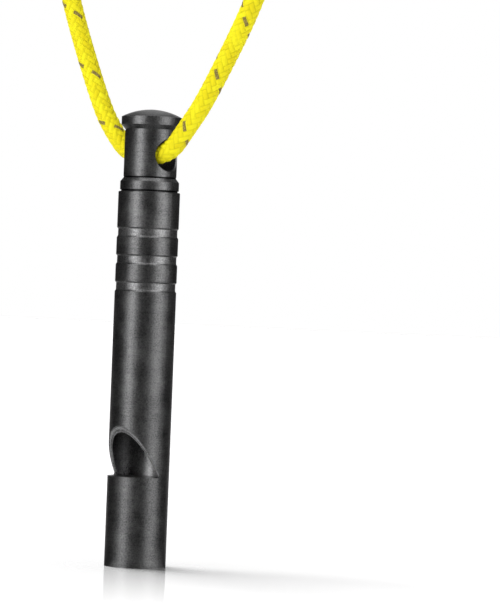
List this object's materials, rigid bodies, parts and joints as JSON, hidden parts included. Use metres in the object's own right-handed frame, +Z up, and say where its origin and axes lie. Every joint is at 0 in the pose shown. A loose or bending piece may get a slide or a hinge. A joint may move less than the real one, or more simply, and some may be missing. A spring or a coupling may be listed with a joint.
{
  "type": "survival whistle",
  "caption": "Slim metal tube whistle with a sound window near the mouth end, grip grooves, a drilled domed head and a short braided cord loop closed by a knot.",
  "frame": {"origin": "middle of the flat mouth face that the whistle stands on", "axes": "+Z up along the whistle's axis to its domed head, -Y the way the sound window faces, X along the cord hole"},
  "size_m": [0.0388, 0.0086, 0.1237],
  "materials": {
    "barrel_metal": "dark grey, bead-blasted satin",
    "block_metal": "dark grey, bead-blasted satin",
    "head_metal": "dark grey, bead-blasted satin",
    "cord_braid": "bright yellow round braid with grey reflective tracer",
    "knot_braid": "bright yellow round braid with grey reflective tracer"
  },
  "bodies": {
    "root": {"barrel": "barrel_metal", "windway_block": "block_metal", "head": "head_metal", "lanyard_cord": "cord_braid", "lanyard_knot": "knot_braid"}
  },
  "joints": []
}
